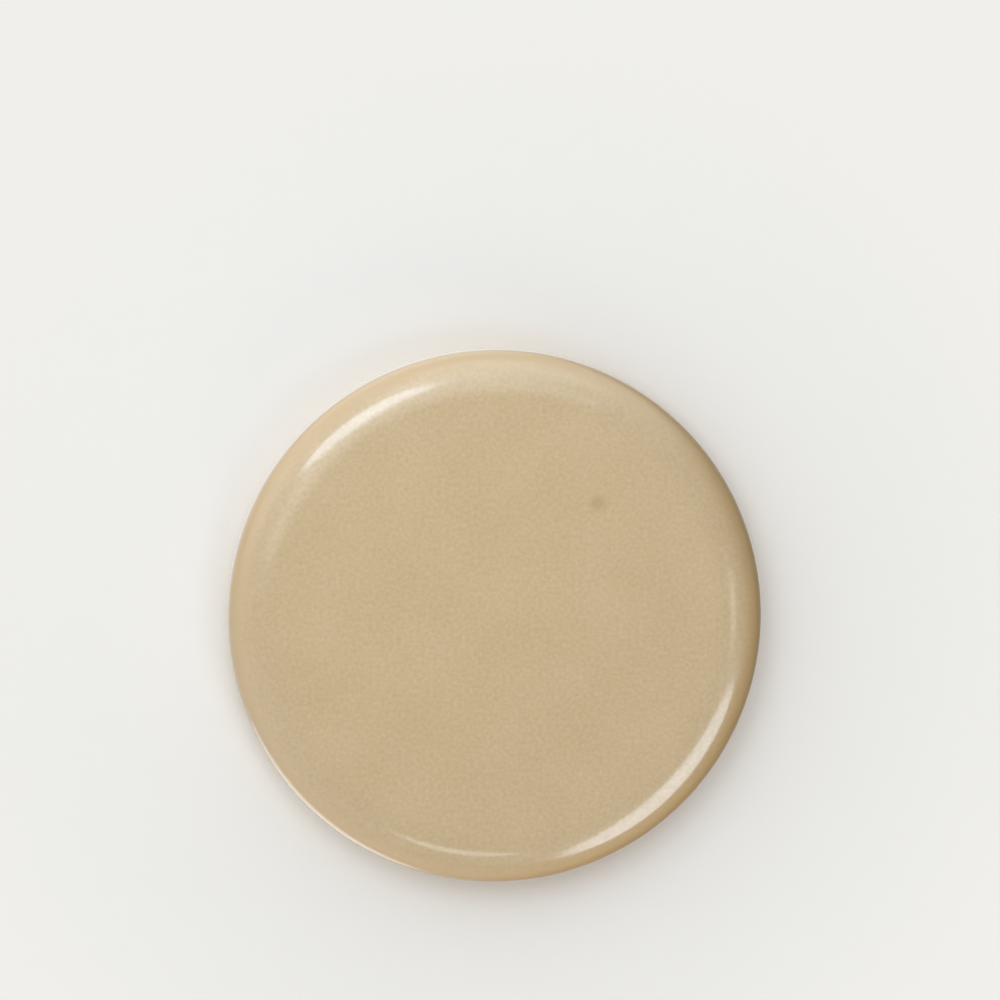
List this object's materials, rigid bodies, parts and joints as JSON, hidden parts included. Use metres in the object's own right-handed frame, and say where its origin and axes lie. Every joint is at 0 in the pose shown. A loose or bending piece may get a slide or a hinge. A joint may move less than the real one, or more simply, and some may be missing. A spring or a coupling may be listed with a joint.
{
  "type": "furniture slider",
  "caption": "Round carpet slider: a shallow dished plastic shell with a smooth flat sliding face and rounded shoulder, and a foam pad bonded inside it on which a furniture leg stands.",
  "frame": {"origin": "centre of the flat sliding face, which lies on the carpet", "axes": "+Z is the axis of the disc and points up through the pad to the furniture leg; +X and +Y lie in the sliding face"},
  "size_m": [0.127, 0.127, 0.014],
  "materials": {
    "shell_plastic": "tan moulded plastic, fine-grained sliding face and polished shoulder",
    "adhesive_film": "double-sided bonding film",
    "pad_foam": "closed-cell foam, skin grain on top and cut cells on the side"
  },
  "bodies": {
    "root": {"base_shell": "shell_plastic", "pad_adhesive": "adhesive_film", "grip_pad": "pad_foam"}
  },
  "joints": []
}
